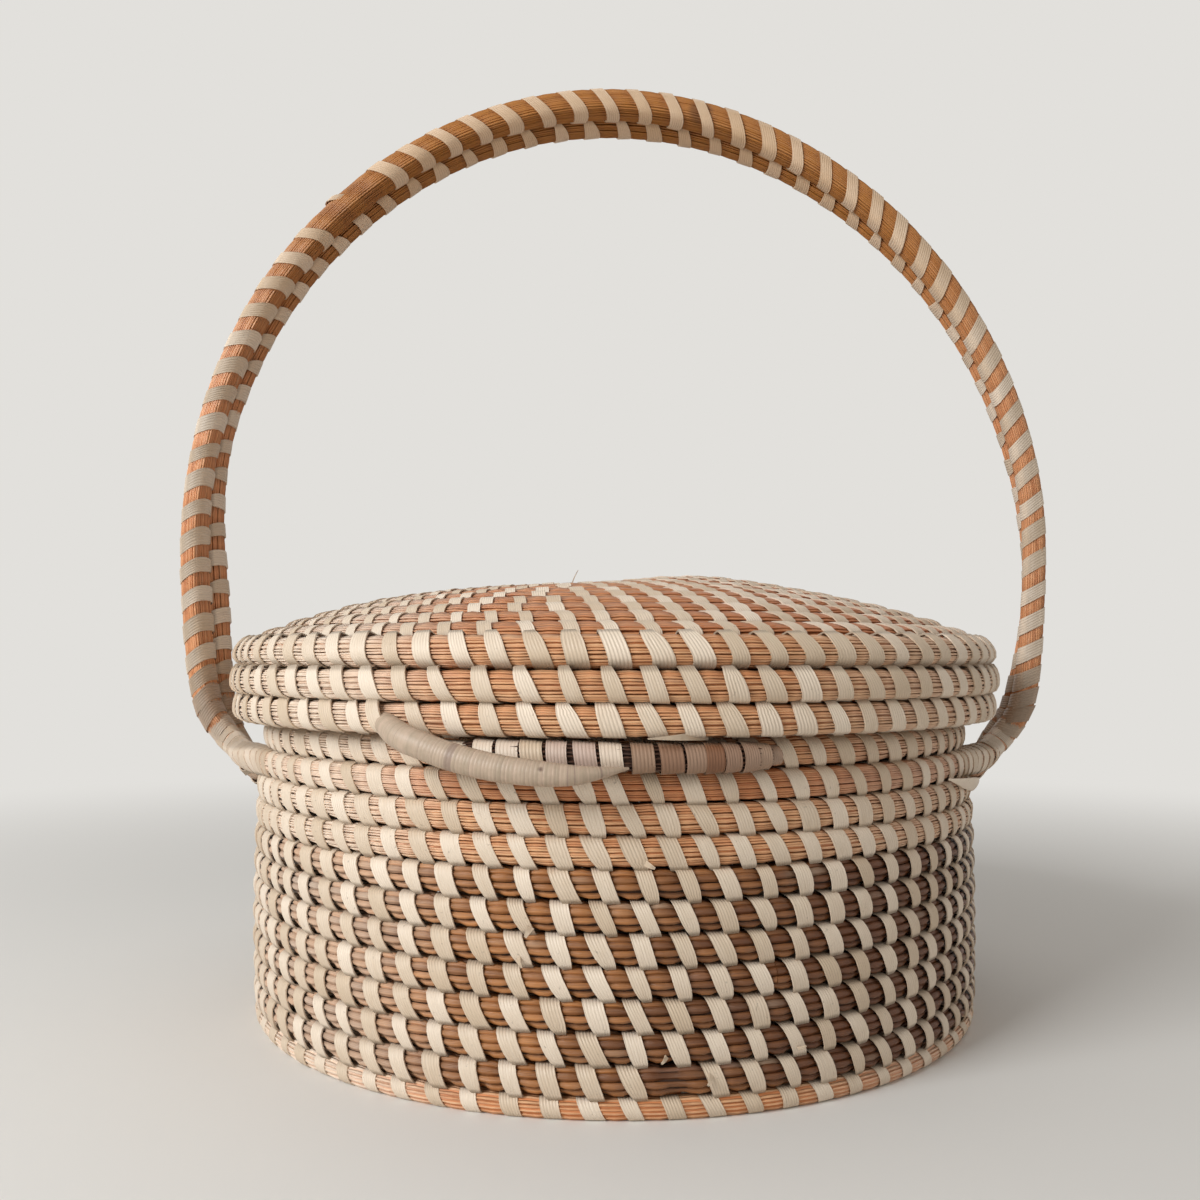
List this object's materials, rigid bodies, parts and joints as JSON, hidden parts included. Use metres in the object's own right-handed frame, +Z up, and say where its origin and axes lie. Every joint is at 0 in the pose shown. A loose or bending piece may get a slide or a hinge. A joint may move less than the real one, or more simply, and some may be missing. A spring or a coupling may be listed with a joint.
{
  "type": "lidded coiled basket with a fixed arched handle",
  "caption": "Round coiled-grass sewing basket with straight walls, a loose domed lid that locks by a tongue under a keeper, and a fixed arched handle over it.",
  "frame": {"origin": "on the table, under the middle of the base", "axes": "+Z up through the middle of the basket, +X to the right of someone facing the tongue, -Y towards them; the handle's arch stands in the X-Z plane"},
  "size_m": [0.2918, 0.2524, 0.3011],
  "materials": {
    "sweetgrass": "bundled dry sweetgrass, golden tan to orange brown, satin",
    "bulrush": "bundled dry bulrush rods, red brown to dark umber, satin",
    "palmetto": "split palmetto leaf, cream to beige, ribbed, half gloss"
  },
  "bodies": {
    "basket": {"base_centre_knot": "sweetgrass", "base_coil": "sweetgrass", "foot_coil": "sweetgrass", "wall_bulrush_coil": "bulrush", "wall_sweetgrass_coil": "sweetgrass", "handle_front_coil": "sweetgrass", "handle_rear_coil": "sweetgrass", "handle_filler_left": "sweetgrass", "handle_filler_right": "sweetgrass", "wall_coil_tail": "palmetto", "rim_coil": "sweetgrass", "neck_coil": "sweetgrass", "keeper_bow": "sweetgrass", "keeper_wrap": "palmetto"},
    "lid_middle": {"lid_centre_knot": "sweetgrass"},
    "lid": {"lid_dome_coil": "sweetgrass", "lid_skirt_coil": "sweetgrass", "lid_tongue": "palmetto", "lid_tongue_tip": "palmetto"}
  },
  "joints": [
    {"name": "lid_lift", "type": "slide", "parent": "basket", "child": "lid_middle", "axis": [0, 0, 1], "range_m": [0, 0.097], "deforming": ["lid_tongue_tip"]},
    {"name": "lid_twist", "type": "hinge", "parent": "lid_middle", "child": "lid", "pos_m": [0, 0, 0.12], "axis": [0, 0, 1], "range_deg": [-30, 0]}
  ]
}
